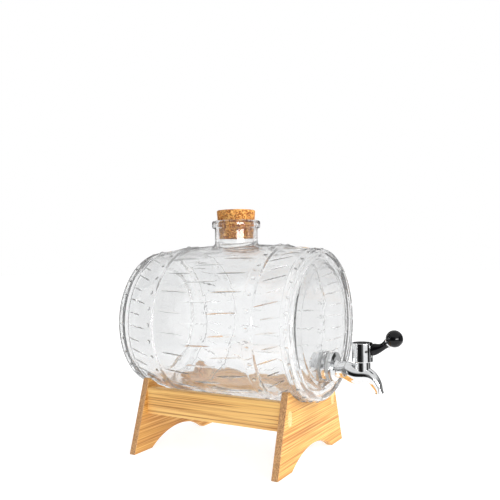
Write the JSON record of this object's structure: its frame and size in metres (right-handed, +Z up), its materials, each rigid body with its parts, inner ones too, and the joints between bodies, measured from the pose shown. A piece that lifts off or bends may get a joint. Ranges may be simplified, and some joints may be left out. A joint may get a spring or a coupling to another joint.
{
  "type": "barrel drink dispenser",
  "caption": "Clear glass barrel bottle with moulded hoops, cork stopper and chromed lever tap, resting in a bamboo stand with arched leg panels and side rails.",
  "frame": {"origin": "on the floor under the middle of the whole dispenser, from the tap's knob to the rear head", "axes": "+Z up, tap towards -Y, +X to the right as seen from the tap"},
  "size_m": [0.1454, 0.2517, 0.224],
  "materials": {
    "glass": "clear pressed glass with a faint blue-grey tint",
    "bamboo": "satin varnished laminated bamboo",
    "cork": "agglomerated cork, matte",
    "chrome": "polished chrome plate",
    "black": "glossy black moulding",
    "silicone": "translucent silicone",
    "steel": "plain turned steel",
    "guide": "white acetal"
  },
  "bodies": {
    "stand": {"front_leg_panel": "bamboo", "rear_leg_panel": "bamboo", "left_rail": "bamboo", "right_rail": "bamboo"},
    "barrel": {"glass_barrel": "glass", "glass_rear": "glass", "glass_neck": "glass", "tap_body": "chrome", "outer_gasket": "silicone", "inner_gasket": "silicone", "shank_nut": "chrome", "stem_guide": "guide", "stem_o_ring": "silicone", "return_spring": "steel", "tap_bonnet": "chrome", "lever_pin": "steel"},
    "cork": {"cork_stopper": "cork"},
    "valve": {"valve_stem": "steel", "valve_plug": "silicone", "stem_nut": "steel"},
    "lever": {"tap_lever": "black", "knob_ring": "chrome", "lever_knob": "black"}
  },
  "joints": [
    {"name": "barrel_lift", "type": "slide", "parent": "stand", "child": "barrel", "axis": [0, 0, 1], "range_m": [0, 0.08]},
    {"name": "cork_pull", "type": "slide", "parent": "barrel", "child": "cork", "axis": [0, 0, 1], "range_m": [0, 0.035]},
    {"name": "lever_pivot", "type": "hinge", "parent": "barrel", "child": "lever", "pos_m": [0, -0.09652, 0.098], "axis": [1, 0, 0], "range_deg": [0, 25], "stiffness_Nm_per_rad": 0.08, "springref_deg": -20.05},
    {"name": "valve_lift", "type": "slide", "parent": "barrel", "child": "valve", "axis": [0, 0, 1], "range_m": [0, 0.0026], "deforming": ["return_spring"]}
  ],
  "couplings": [
    {"joint": "valve_lift", "follows": "lever_pivot", "m_per_rad": 0.00595}
  ]
}
